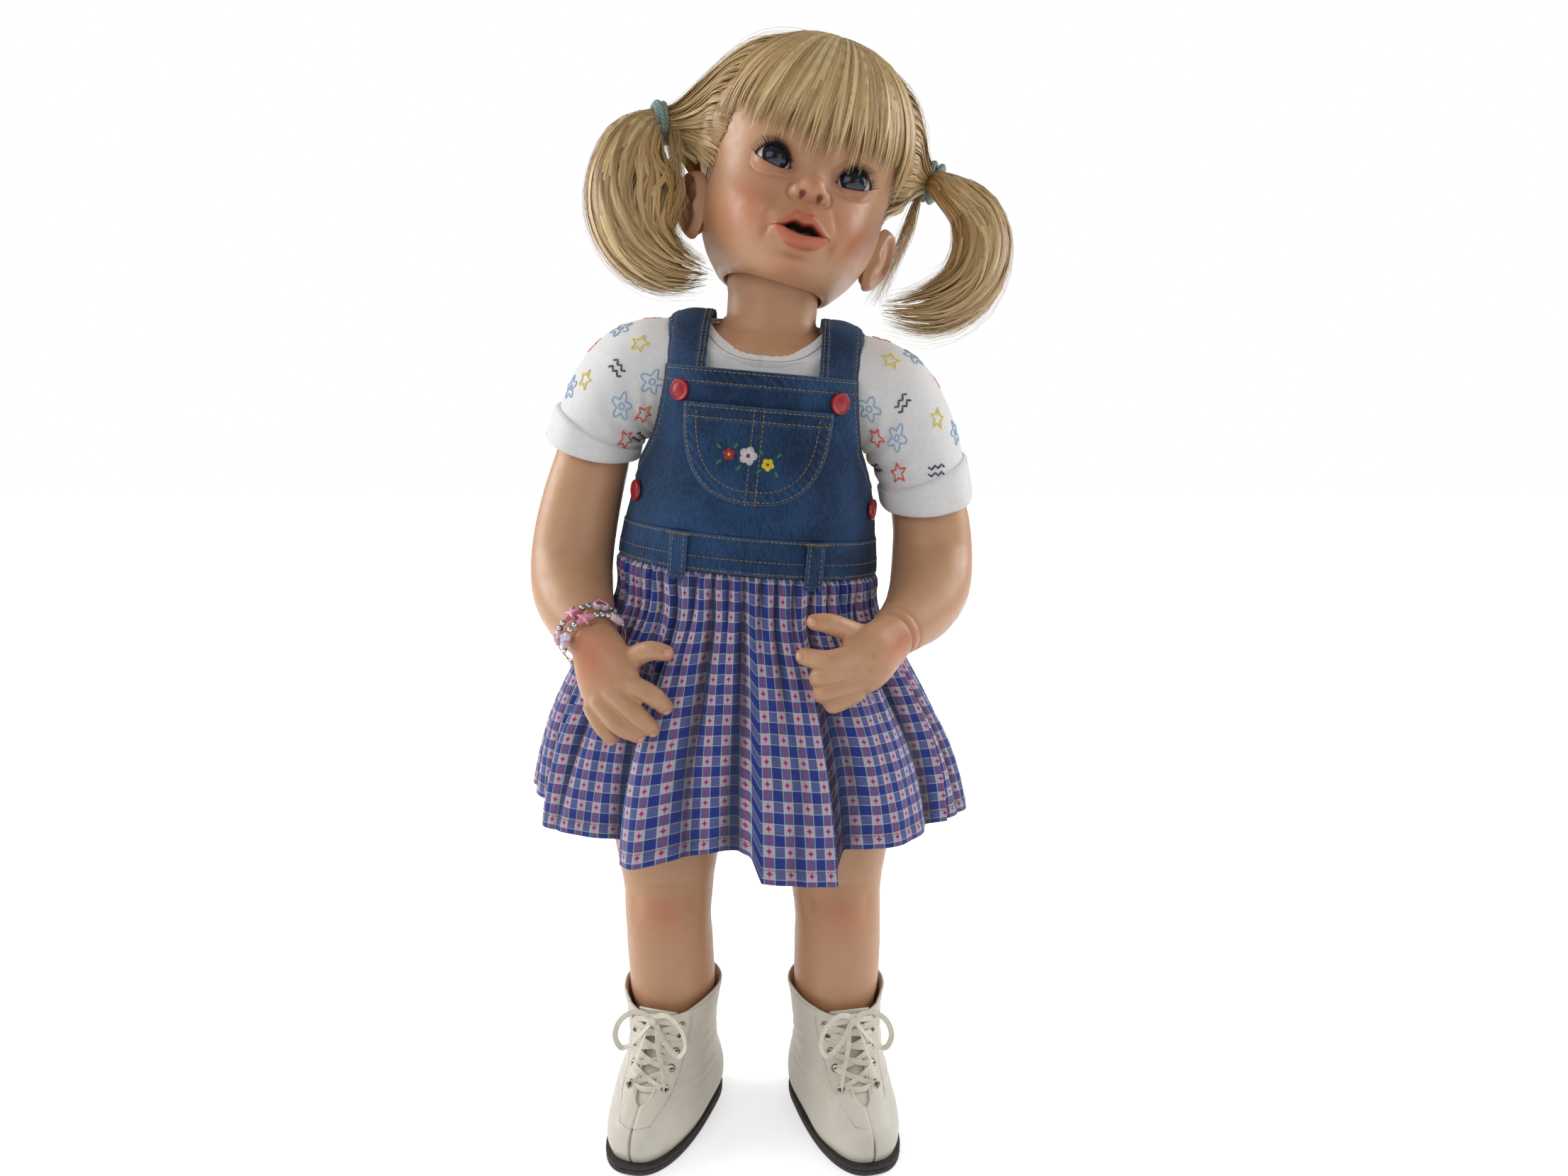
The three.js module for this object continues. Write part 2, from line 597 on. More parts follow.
// Shoulder plate with neck and knob, open underneath
function breastplate() {
  const chest = [
    { w: CHEST_SIDE_X, f: 56, b: 48, z: 120 + GAP, n: 2.8 },
    { w: CHEST_SIDE_X, f: 54, b: 46, z: 150, n: 2.8 },
    { w: 74, f: 49, b: 43, z: 172, n: 2.5 },
    { w: 59, f: 42, b: 40, z: 183, n: 2.2 },
    { w: 45, f: 38, b: 38, z: 190, n: 2 },
    { w: NECK_RADIUS, f: NECK_RADIUS, b: NECK_RADIUS, z: 200, n: 2 },
  ].map((ring) => ({ ...ring, cy: BODY_Y }));
  const knobStart = -Math.acos(NECK_RADIUS / KNOB_RADIUS);
  const knobEnd = Math.asin(KNOB_TOP / KNOB_RADIUS);
  const knob = Array.from({ length: 6 }, (_, i) => {
    const elevation = lerp(knobStart, knobEnd, i / 5);
    const radius = KNOB_RADIUS * Math.cos(elevation);
    return { w: radius, f: radius, z: KNOB_Z + KNOB_RADIUS * Math.sin(elevation), cx: KNOB_X, cy: BODY_Y };
  });
  const outer = [...chest, ...knob].map((ring) => bodyRing(ring, BODY_COLUMNS));
  const inner = chest.slice(0, 5).map((ring, i) => (
    bodyRing(offsetRing({ ...ring, z: ring.z - (i > 1 ? VINYL_WALL : 0) }, -VINYL_WALL), BODY_COLUMNS)
  )).reverse();
  return loft([...inner, ...outer]);
}

// Stuffed body: pelvis between the legs, belly, and chest up to the shoulder plate
function torsoBody() {
  const pelvis = [
    { w: PELVIS_SIDE_X - 6, f: 36, b: 38, z: 352, n: 2.5 },
    { w: PELVIS_SIDE_X, f: 44, b: 46, z: 368, n: 3 },
    { w: PELVIS_SIDE_X, f: 48, b: 50, z: HIP_Z + HIP_BALL_RADIUS - 2, n: 3 },
    { w: 86, f: 62, b: 66, z: HIP_Z + HIP_BALL_RADIUS + 3, n: 2.2 },
    { w: 89, f: 68, b: 68, z: 470, n: 2.2 },
  ].map((ring) => bodyRing({ ...ring, cx: HIP_X }, BODY_COLUMNS));
  const belly = [
    { w: 83, f: 66, b: 58, z: 20, n: 2.2 },
    { w: 83, f: 67, b: 56, z: 65, n: 2.3 },
    { w: CHEST_SIDE_X, f: 60, b: 54, z: 105, n: 2.6 },
    { w: CHEST_SIDE_X, f: 58, b: 52, z: 120, n: 3 },
  ].map((ring) => bodyRing({ ...ring, cy: BODY_Y }, BODY_COLUMNS).map((p) => p.applyMatrix4(upperFrame)));
  return loft([...pelvis, ...belly]);
}

addPiece(upperBody, 'breastplate', breastplate(), 'vinyl');
addPiece(doll, 'torso_body', torsoBody(), 'core');

// Joint discs with a bore, and bolts with a head inside the limb. They lie along X
function jointDisc(side, from, to, radius, y, z, cx = 0) {
  const bore = BOLT_RADIUS + GAP;
  const profile = [[bore, 0], [radius, 0], [radius, to - from], [bore, to - from], [bore, 0]];
  const disc = new THREE.LatheGeometry(profile.map(([r, h]) => new THREE.Vector2(r, h)), ROUND_SIDES);
  disc.rotateZ(side > 0 ? -Math.PI / 2 : Math.PI / 2);
  return disc.translate(cx + side * from, y, z);
}

function jointBolt(side, from, face, y, z, cx = 0) {
  const neckEnd = face - from + GAP;
  const profile = [[0, 0], [BOLT_RADIUS, 0], [BOLT_RADIUS, neckEnd], [BOLT_HEAD_RADIUS, neckEnd],
    [BOLT_HEAD_RADIUS, neckEnd + BOLT_HEAD_THICKNESS], [0, neckEnd + BOLT_HEAD_THICKNESS]];
  const bolt = new THREE.LatheGeometry(profile.map(([r, h]) => new THREE.Vector2(r, h)), 8);
  bolt.rotateZ(side > 0 ? -Math.PI / 2 : Math.PI / 2);
  return bolt.translate(cx + side * from, y, z);
}

// Limb: a ball at the joint, flat on its inner side, a tapering tube, and a hollow open at the flat side
function limb({ ball, radius, faceDirection, face, stations, hollowStations, extras = [] }) {
  const faceFar = ball.clone().addScaledVector(faceDirection, radius * 2);
  const faceNear = ball.clone().addScaledVector(faceDirection, face);
  const cut = cylinderAlong(faceNear, faceFar, radius * 2);
  const hollowBall = ballAt(ball, radius - VINYL_WALL, HOLLOW_SIDES, 6);
  const opening = cylinderAlong(ball, faceFar, LIMB_OPENING_RADIUS, HOLLOW_SIDES);
  const outside = [tube(stations, LIMB_SIDES), ...extras];
  const hollow = tube(hollowStations, HOLLOW_SIDES, VINYL_WALL);
  return combine(ballAt(ball, radius), outside, [cut, hollowBall, opening, hollow]);
}

// Arms: the upper arm is given in the upper body's frame, the rest in the doll's frame
const fingerSide = { right: vec(-34, 12, -25).normalize(), left: vec(0, 4, -56).normalize() };
const ARM_ROUTE = {
  right: [
    [vec(-134, -2, 585), 30],
    [vec(-146, -3, 542), 33],
    [vec(-152, -9, 505), 34],
    [vec(-149, -28, 480), 33],
    [vec(-140, -51, 465), 29],
    [vec(-130, -71, 455), 23.5],
    [vec(-123, -85, 449), 19.5],
  ],
  left: [
    [vec(141, -2, 565), 30],
    [vec(148, -3, 532), 32],
    [vec(149, -8, 505), 33.5],
    [vec(145, -27, 483), 33],
    [vec(135, -49, 469), 29],
    [vec(122, -70, 461), 23.5],
    [vec(110, -86, 455), 19.5],
  ],
};
const PALM_ROUTE = {
  right: [
    [vec(-117, -95, 438), [24, 17]],
    [vec(-110, -104, 423), [27, 15]],
    [vec(-104, -110, 410), [24, 11]],
  ],
  left: [[vec(102, -97, 449), [23, 17]], [vec(91, -109, 442), [26, 17]], [vec(80, -117, 436), [25, 13]]],
};
const FINGERS = {
  right: [
    [[-95, -100, 438, 9], [-78, -110, 447, 8], [-65, -112, 446, 6.5]],
    [[-96, -113, 423, 8.5], [-76, -119, 415, 8], [-66, -113, 404, 6.5]],
    [[-106, -114, 416, 8.5], [-87, -121, 400, 8], [-76, -115, 387, 6.5]],
    [[-116, -111, 408, 8], [-101, -118, 391, 7.5], [-87, -113, 381, 6.2]],
    [[-123, -105, 401, 7.5], [-115, -109, 387, 7], [-109, -106, 377, 6]],
  ],
  left: [
    [[82, -108, 459, 9], [60, -120, 470, 8], [48, -122, 472, 6.5]],
    [[80, -121, 448, 9], [60, -130, 444, 8.5], [40, -124, 446, 6.8]],
    [[78, -119, 436, 8.5], [54, -127, 432, 8], [51, -113, 425, 6.8]],
    [[78, -116, 424, 8.5], [56, -121, 418, 8], [54, -109, 412, 6.5]],
    [[79, -111, 414, 8], [64, -112, 406, 7.5], [62, -103, 403, 6]],
  ],
};

function finger(points) {
  const stations = points.map(([x, y, z, r]) => ({ at: vec(x, y, z), r }));
  const [, middle, tip] = stations;
  const end = tip.at.clone().add(tip.at.clone().sub(middle.at).setLength(tip.r * 0.7));
  return tube([...stations, { at: end, r: tip.r * 0.6 }], 6);
}

function arm(name, side) {
  const ball = upper(side * SHOULDER_BALL_X, BODY_Y, SHOULDER_Z);
  const front = vec(0, -1, 0);
  const upperArm = [[112, 147, 26], [124, 124, 28], [131, 99, 28.5]].map(([x, z, r]) => (
    { at: upper(side * x, BODY_Y - 2, z), r, side: front }
  ));
  const forearm = ARM_ROUTE[name].map(([at, r]) => ({ at, r, side: vec(1, 0, 0) }));
  const palm = PALM_ROUTE[name].map(([at, r]) => ({ at, r, side: fingerSide[name] }));
  const stations = [...upperArm, ...forearm.map((s) => ({ ...s, side: front }))];
  const wrist = forearm[forearm.length - 1];
  const hand = tube([{ ...wrist, side: fingerSide[name] }, ...palm], LIMB_SIDES);
  return limb({
    ball,
    radius: SHOULDER_BALL_RADIUS,
    faceDirection: upper(-side, 0, 0).sub(upper(0, 0, 0)),
    face: SHOULDER_BALL_X - SHOULDER_FACE_X,
    stations,
    hollowStations: stations.slice(0, -1),
    extras: [hand, ...FINGERS[name].map(finger)],
  });
}

for (const [name, side] of [['left', 1], ['right', -1]]) {
  const discFrom = CHEST_SIDE_X + GAP;
  const discTo = SHOULDER_FACE_X - GAP;
  const disc = jointDisc(side, discFrom, discTo, SHOULDER_DISC_RADIUS, BODY_Y, SHOULDER_Z);
  addPiece(upperBody, `shoulder_disc_${name}`, disc, 'disc');
  const bolt = jointBolt(side, discFrom, SHOULDER_FACE_X, BODY_Y, SHOULDER_Z);
  addPiece(upperBody, `shoulder_bolt_${name}`, bolt, 'bolt');
  addPiece(doll, `arm_${name}`, arm(name, side), 'vinyl');
}

// Legs, each with a foot inside its boot
const LEG_ROUTE = [
  [HIP_BALL_X - 2, 0, HIP_Z, HIP_BALL_RADIUS - 4], [80, -1, HIP_Z - 50, HIP_BALL_RADIUS + 1],
  [77, -2, HIP_Z - 100, HIP_BALL_RADIUS + 0.5], [74, -3, 253, 45],
  [74, -4, 216, 39.5], [75, -5, 186, 37.5], [74.5, -1, 156, 38], [73.5, 2, 118, 37.5],
  [73.5, 3, 82, 32], [73.5, 3, 50, 29], [73.5, 3, SOLE_THICKNESS + BOOT_WALL + GAP * 2.5, 27],
];

function leg(side) {
  const ball = vec(HIP_X + side * HIP_BALL_X, 0, HIP_Z);
  const stations = LEG_ROUTE.map(([x, y, z, r]) => (
    { at: vec(lerp(BOOT_MID_X, HIP_X, (z - 100) / 300) + side * x, y, z), r }
  ));
  const turn = rad(side * TOE_OUT);
  const toe = (distance, height) => vec(
    BOOT_MID_X + side * BOOT_X + distance * Math.sin(turn),
    -distance * Math.cos(turn),
    height,
  );
  const foot = tube([
    { at: toe(-22, 32), r: [22, 14] }, { at: toe(10, 34), r: [25, 16] }, { at: toe(45, 30), r: [28, 12] },
    { at: toe(75, 26), r: [25, 10] }, { at: toe(88, 24), r: [16, 7] },
  ], LIMB_SIDES);
  return limb({
    ball,
    radius: HIP_BALL_RADIUS,
    faceDirection: vec(-side, 0, 0),
    face: HIP_BALL_X - HIP_FACE_X,
    stations,
    hollowStations: stations.slice(0, -2),
    extras: [foot],
  });
}

for (const [name, side] of [['left', 1], ['right', -1]]) {
  const discFrom = PELVIS_SIDE_X + GAP;
  const disc = jointDisc(side, discFrom, HIP_FACE_X - GAP, HIP_DISC_RADIUS, 0, HIP_Z, HIP_X);
  addPiece(doll, `hip_disc_${name}`, disc, 'disc');
  const bolt = jointBolt(side, discFrom, HIP_FACE_X, 0, HIP_Z, HIP_X);
  addPiece(doll, `hip_bolt_${name}`, bolt, 'bolt');
  addPiece(doll, `leg_${name}`, leg(side), 'vinyl');
}

// T-shirt, in the upper body's frame
const SHIRT_RINGS = [
  { w: 90, f: 72, b: 64, zf: 8, zs: 8, zb: 8, n: 2.2 },
  { w: 88, f: 71, b: 62, zf: 60, zs: 60, zb: 60, n: 2.3 },
  { w: 81, f: 66, b: 58, zf: 108, zs: 108, zb: 108, n: 2.8 },
  { w: 81, f: 61, b: 53, zf: 140, zs: 150, zb: 150, n: 2.9 },
  { w: 80.5, f: 58, b: 49, zf: 158, zs: 180, zb: 178, n: 2.7 },
  { w: 77, f: 57, b: 48, zf: 165, zs: 192, zb: 190, n: 2.4 },
  { w: 63, f: 56, b: 47, zf: 168, zs: 199, zb: 196, n: 2.1 },
  { w: KNOB_RADIUS + 1.5, f: KNOB_RADIUS + 11, b: KNOB_RADIUS + 3.5, zf: 171, zs: 199, zb: 200, n: 2 },
].map((ring) => ({ ...ring, cy: BODY_Y }));

function loopShell(outerSizes, thickness, columns) {
  const outer = outerSizes.map((sizes) => bodyRing(sizes, columns));
  const inner = outerSizes.map((sizes) => bodyRing(offsetRing(sizes, -thickness), columns)).reverse();
  return loft([...outer, ...inner], { loop: true });
}

function tshirtBody() {
  const holes = [-1, 1].map((side) => cylinderAlong(
    vec(side * (CHEST_SIDE_X - 12), BODY_Y, SHOULDER_Z),
    vec(side * 100, BODY_Y, SHOULDER_Z),
    ARMHOLE_RADIUS,
    14,
  ));
  return combine(loopShell(SHIRT_RINGS, SHIRT_THICKNESS, BODY_COLUMNS), [], holes);
}

function tshirtNeckband() {
  const edge = SHIRT_RINGS[SHIRT_RINGS.length - 1];
  const rise = (share) => ({
    ...offsetRing(edge, -share * NECKBAND_DRAW),
    zf: edge.zf + GAP + share * NECKBAND_WIDTH,
    zs: edge.zs + GAP + share * NECKBAND_RISE,
    zb: edge.zb + GAP + share * NECKBAND_RISE,
  });
  return loopShell([rise(0), rise(0.5), rise(1)], SHIRT_THICKNESS, BODY_COLUMNS);
}

// Sleeve rings: outer and inner edge points [x, z], depth, and how far the front dips below the back
const SLEEVE_RINGS = {
  right: [
    { out: [81.6, 194], in: [81.6, 106], depth: 43, dip: 0 },
    { out: [105, 190], in: [86, 103], depth: 44, dip: 0 },
    { out: [129, 177], in: [90, 98], depth: 45, dip: 0 },
    { out: [150, 152], in: [94, 93], depth: 45, dip: 3 },
    { out: [163, 122], in: [98, 88], depth: 44, dip: 6 },
    { out: [172, 92], in: [100, 80], depth: 43, dip: 10 },
  ],
  left: [
    { out: [81.6, 194], in: [81.6, 106], depth: 43, dip: 0 },
    { out: [106, 189], in: [87, 102], depth: 44, dip: 0 },
    { out: [131, 175], in: [92, 95], depth: 45, dip: 0 },
    { out: [153, 146], in: [98, 86], depth: 45, dip: 3 },
    { out: [169, 110], in: [105, 74], depth: 44, dip: 6 },
    { out: [180, 71], in: [110, 58], depth: 43, dip: 10 },
  ],
};

function sleeveRing(side, { out, in: inner, depth, dip }, shift) {
  const length = Math.hypot(out[0] - inner[0], out[1] - inner[1]);
  const unit = [(out[0] - inner[0]) / length, (out[1] - inner[1]) / length];
  const middle = [(out[0] + inner[0]) / 2, (out[1] + inner[1]) / 2];
  const half = length / 2 + shift;
  const sides = 14;
  return Array.from({ length: sides }, (_, i) => {
    const angle = (i / sides) * 2 * Math.PI;
    const across = half * Math.cos(angle);
    const toFront = (depth + shift) * Math.sin(angle);
    const x = middle[0] + unit[0] * across;
    const z = middle[1] + unit[1] * across - dip * Math.sin(angle);
    return vec(side * x, BODY_Y - toFront, z);
  });
}

function sleeve(name, side) {
  const rings = SLEEVE_RINGS[name];
  const outer = rings.map((ring) => sleeveRing(side, ring, 0));
  const inner = rings.map((ring) => sleeveRing(side, ring, -SHIRT_THICKNESS)).reverse();
  return loft([...outer, ...inner], { loop: true });
}

function cuff(name, side) {
  const [above, below] = SLEEVE_RINGS[name].slice(-2);
  const mix = (t) => ({
    out: [lerp(above.out[0], below.out[0], t), lerp(above.out[1], below.out[1], t)],
    in: [lerp(above.in[0], below.in[0], t), lerp(above.in[1], below.in[1], t)],
    depth: lerp(above.depth, below.depth, t),
    dip: lerp(above.dip, below.dip, t),
  });
  const shifts = [GAP * 2, GAP * 2 + CUFF_THICKNESS];
  const outer = [0.15, 0.6, 1].map((t) => sleeveRing(side, mix(t), shifts[1]));
  const inner = [0.15, 0.6, 1].map((t) => sleeveRing(side, mix(t), shifts[0])).reverse();
  return loft([...outer, ...inner], { loop: true });
}

addPiece(upperBody, 'tshirt_body', tshirtBody(), 'jersey');
addPiece(upperBody, 'tshirt_neckband', tshirtNeckband(), 'jersey');
for (const [name, side] of [['left', 1], ['right', -1]]) {
  addPiece(upperBody, `tshirt_sleeve_${name}`, sleeve(name, side), 'jersey');
  addPiece(upperBody, `tshirt_cuff_${name}`, cuff(name, side), 'jersey');
}

// Denim bib dress, in the upper body's frame. Rows give the outer surface from the waist seam up
const DRESS_ROWS = [
  { w: 108, f: 86, b: 78, z: 0, n: 2.2 },
  { w: 105, f: 86, b: 76, z: 30, n: 2.2 },
  { w: 99, f: 86, b: 74, z: 60, n: 2.3 },
  { w: 94, f: 83, b: 73, z: 85, n: 2.4 },
  { w: 89, f: 79, b: 72, z: 110, n: 2.6 },
  { w: 87, f: 77, b: 70, z: 135, n: 2.7 },
  { w: 86, f: 75, b: 68, z: 160, n: 2.8 },
].map((row) => ({ ...row, cy: BODY_Y }));
const DRESS_HEIGHTS = DRESS_ROWS.map((row, i) => [row.z, i]);

function dressPoint(degrees, z, out = 0) {
  const sizes = ringAt(DRESS_ROWS, valueAt(DRESS_HEIGHTS, z));
  return bodyPoint({ ...offsetRing(sizes, out), z }, rad(degrees));
}

// Depth of the dress's surface at a place across it, in front (-1) or behind (1)
function dressDepth(x, z, facing, out = 0) {
  const { w, f, b, cy, n } = offsetRing(ringAt(DRESS_ROWS, valueAt(DRESS_HEIGHTS, z)), out);
  return cy + facing * (facing < 0 ? f : b) * (1 - Math.abs(x / w) ** n) ** (1 / n);
}

const dressFront = (x, z) => dressDepth(x, z, -1);

function dressPanel(from, to, count, top) {
  const rows = 5;
  const columns = Array.from({ length: count + 1 }, (_, i) => {
    const angle = lerp(from, to, i / count);
    const height = top(angle);
    const heights = Array.from({ length: rows }, (_unused, j) => (
      lerp(WAISTBAND_HEIGHT + GAP, height, j / (rows - 1))
    ));
    return {
      outer: heights.map((z) => dressPoint(angle, z)),
      inner: heights.map((z) => dressPoint(angle, z, -DENIM_THICKNESS)),
    };
  });
  return panel(columns);
}

const BIB_EDGE = [
  [0, BIB_TOP_Z],
  [BIB_HALF_ANGLE, BIB_TOP_Z],
  [BIB_HALF_ANGLE + 7, 105],
  [78, 82],
  [90, DRESS_SIDE_TOP_Z],
];
const BACK_EDGE = [
  [0, BACK_TOP_Z],
  [BIB_HALF_ANGLE, BACK_TOP_Z],
  [BIB_HALF_ANGLE + 10, 105],
  [78, 84],
  [90, DRESS_SIDE_TOP_Z],
];

// Point on the T-shirt's shoulder at a place across it: share 0 is low and 1 is the top of the shoulder
function shoulderPoint(x, share, facing, out) {
  let [low, high] = [4, SHIRT_RINGS.length - 1];
  for (let i = 0; i < 24; i += 1) {
    const middle = (low + high) / 2;
    if (ringAt(SHIRT_RINGS, middle).w > x) low = middle;
    else high = middle;
  }
  const { w, f, b, n, zf, zs, zb, cy } = ringAt(SHIRT_RINGS, lerp(4, low, share));
  const square = Math.max(1 - (x / w) ** n, 0);
  const y = facing * (facing < 0 ? f : b) * square ** (1 / n);
  const z = lerp(zs, facing < 0 ? zf : zb, square);
  const away = vec(0, y, z - SHOULDER_Z).normalize();
  return vec(x, cy + y, z).addScaledVector(away, out);
}

// A strap lies under the bib and the back, and over the T-shirt's shoulder
function strap(side) {
  const under = DENIM_THICKNESS + STRAP_THICKNESS / 2 + GAP * 2;
  const places = Array.from({ length: 5 }, (_, i) => STRAP_MIDDLE_X + STRAP_WIDTH * (i / 4 - 0.5));
  const tucked = (z, facing) => places.map((x) => vec(x, dressDepth(x, z, facing, -under), z));
  const over = (share, facing) => places.map((x) => shoulderPoint(x, share, facing, STRAP_LIFT));
  const stations = [
    tucked(BIB_TOP_Z - 17, -1), tucked(BIB_TOP_Z, -1),
    over(0.35, -1), over(0.7, -1), over(0.9, -1), over(1, 1), over(0.9, 1), over(0.7, 1), over(0.35, 1),
    tucked(BACK_TOP_Z, 1), tucked(BACK_TOP_Z - 14, 1),
  ];
  const columns = stations.map((points, i) => {
    const before = stations[Math.max(i - 1, 0)];
    const after = stations[Math.min(i + 1, stations.length - 1)];
    const across = points[4].clone().sub(points[0]);
    const along = after[2].clone().sub(before[2]);
    const outwards = across.cross(along).normalize().multiplyScalar(STRAP_THICKNESS / 2);
    const mirrored = (p) => vec(side * p.x, p.y, p.z);
    return {
      outer: points.map((p) => mirrored(p.clone().add(outwards))),
      inner: points.map((p) => mirrored(p.clone().sub(outwards))),
    };
  });
  return panel(columns);
}

function bibPocket() {
  const count = 10;
  const rows = 4;
  const columns = Array.from({ length: count + 1 }, (_, i) => {
    const x = -POCKET_HALF_WIDTH * 0.995 * Math.cos((i / count) * Math.PI);
    const roundness = 2.6;
    const depth = POCKET_HEIGHT * (1 - Math.abs(x / POCKET_HALF_WIDTH) ** roundness) ** (1 / roundness);
    const along = (out) => Array.from({ length: rows }, (_unused, j) => {
      const z = lerp(POCKET_TOP_Z - depth, POCKET_TOP_Z, j / (rows - 1));
      return vec(x, dressFront(x, z) - out, z);
    });
    return { outer: along(GAP * 3 + POCKET_THICKNESS), inner: along(GAP * 3) };
  });
  return panel(columns);
}

function beltLoop(x) {
  const base = dressFront(x, 0) - GAP * 6;
  const box = new THREE.BoxGeometry(BELT_LOOP_WIDTH, BELT_LOOP_THICKNESS, BELT_LOOP_HEIGHT);
  return box.translate(x, base - BELT_LOOP_THICKNESS / 2, WAISTBAND_HEIGHT - BELT_LOOP_HEIGHT / 2);
}

// Domed button on the dress, square to its surface
function buttonAt(center, outwards) {
  const dome = [
    [0, 0],
    [BUTTON_RADIUS, 0],
    [BUTTON_RADIUS, 2.2],
    [BUTTON_RADIUS - 1.2, 3],
    [BUTTON_RADIUS - 2.4, 2.4],
    [0, BUTTON_THICKNESS],
  ];
  const geometry = new THREE.LatheGeometry(dome.map(([r, h]) => new THREE.Vector2(r, h)), ROUND_SIDES);
  const turn = new THREE.Quaternion().setFromUnitVectors(vec(0, 1, 0), outwards);
  return geometry.applyMatrix4(new THREE.Matrix4().compose(center, turn, vec(1, 1, 1)));
}

function bibButton(side) {
  const x = side * BIB_BUTTON_X;
  const slope = (dressFront(x + 1, BIB_BUTTON_Z) - dressFront(x - 1, BIB_BUTTON_Z)) / 2;
  const outwards = vec(slope, -1, 0).normalize();
  const center = vec(x, dressFront(x, BIB_BUTTON_Z), BIB_BUTTON_Z);
  return buttonAt(center.addScaledVector(outwards, GAP * 2), outwards);
}

function sideButton(side) {
  const angle = side * SIDE_BUTTON_ANGLE;
  const point = dressPoint(angle, SIDE_BUTTON_Z);
  const next = dressPoint(angle + 1, SIDE_BUTTON_Z);
  const along = next.sub(point).normalize();
  const outwards = along.cross(vec(0, 0, 1)).normalize();
  return buttonAt(point.addScaledVector(outwards, GAP * 4.5), outwards);
}

const waistband = loopShell(
  [{ ...DRESS_ROWS[0], zf: 0, zs: 0, zb: 0 }, { ...DRESS_ROWS[1], z: WAISTBAND_HEIGHT }],
  DENIM_THICKNESS,
  BODY_COLUMNS,
);
const bibFront = dressPanel(-92, 92, 18, (angle) => valueAt(BIB_EDGE, Math.abs(angle)));
const dressBack = dressPanel(92.6, 267.4, 16, (angle) => valueAt(BACK_EDGE, Math.abs(180 - angle)));
addPiece(upperBody, 'bib_front', bibFront, 'denim');
addPiece(upperBody, 'dress_back', dressBack, 'denim');
addPiece(upperBody, 'bib_pocket', bibPocket(), 'denim');
addPiece(upperBody, 'waistband', waistband, 'denim');
for (const [name, side] of [['left', 1], ['right', -1]]) {
  addPiece(upperBody, `strap_${name}`, strap(side), 'denim');
  addPiece(upperBody, `belt_loop_${name}`, beltLoop(side * BELT_LOOP_X), 'denim');
  addPiece(upperBody, `bib_button_${name}`, bibButton(side), 'button');
  addPiece(upperBody, `side_button_${name}`, sideButton(side), 'button');
}

// Skirt: gathered at the waist seam, with folds that grow towards an uneven hem.
// The hem's height is given by the angle from the front, positive to the doll's left
const SKIRT_ROWS = [
  { w: 106, f: 84, b: 77 }, { w: 106, f: 88, b: 84 }, { w: 125, f: 94, b: 92 }, { w: 145, f: 100, b: 99 },
  { w: 162, f: 106, b: 105 }, { w: 173, f: 112, b: 110 }, { w: 179, f: 117, b: 114 },
];
const HEM = [
  [-180, 285], [-150, 283], [-120, 293], [-90, 306], [-62, 293], [-42, 274], [-30, 288], [0, 290],
  [14, 258], [30, 284], [55, 292], [75, 298], [95, 282], [125, 285], [180, 285],
];
const FOLD_DEPTH = 8;
const SKIRT_TOP = -GAP;

function skirtPoint(index, band, inset) {
  const angle = (index / SKIRT_COLUMNS) * 2 * Math.PI;
  const degrees = THREE.MathUtils.radToDeg(angle > Math.PI ? angle - 2 * Math.PI : angle);
  const t = band / SKIRT_BANDS;
  const sizes = ringAt(SKIRT_ROWS, t * (SKIRT_ROWS.length - 1));
  const fold = FOLD_DEPTH * t * Math.sin(SKIRT_FOLDS * angle + 0.9 * Math.sin(2 * angle));
  const ring = offsetRing({ ...sizes, z: 0, n: 2.15 }, fold - inset);
  const flat = bodyPoint(ring, angle);
  const top = upper(flat.x, flat.y + BODY_Y, SKIRT_TOP);
  const low = vec(flat.x + HIP_X, flat.y, valueAt(HEM, degrees));
  const sway = Math.min(t * 3, 1);
  return vec(lerp(top.x, low.x, sway), lerp(top.y, low.y, sway), lerp(top.z, low.z, t));
}

function skirt() {
  const ring = (band, inset) => Array.from({ length: SKIRT_COLUMNS }, (_, i) => skirtPoint(i, band, inset));
  const bands = Array.from({ length: SKIRT_BANDS + 1 }, (_, k) => k);
  const outer = bands.map((band) => ring(band, 0));
  const inner = bands.map((band) => ring(band, SKIRT_THICKNESS)).reverse();
  return loft([...outer, ...inner], { loop: true });
}

addPiece(doll, 'skirt', skirt(), 'gingham');

// Boots, each in a frame of its own: the ankle is the origin and the toe points to -Y
const BOOT_RINGS = [
  { w: 37, f: 107, b: 45, z: SOLE_THICKNESS + GAP, n: 2.5 },
  { w: 41, f: 110, b: 48, z: 20, n: 2.4 },
  { w: 41.5, f: 104, b: 49, z: 34, n: 2.3 },
  { w: 40, f: 84, b: 48.5, z: 47, n: 2.2 },
  { w: 38, f: 64, b: 47, z: 60, n: 2.1 },
  { w: 37.5, f: 51, b: 45, z: 78, n: 2 },
  { w: 40, f: 46, b: 46, z: 98, n: 2 },
  { w: 43.5, f: 46, b: 48, zf: 108, zs: 119, zb: 121, z: 118, n: 2 },
].map((ring) => ({ zf: ring.z, zs: ring.z, zb: ring.z, ...ring }));
const BOOT_COLUMNS = 18;
const THROAT_WIDTH = 20;
const THROAT_LOW = 46;

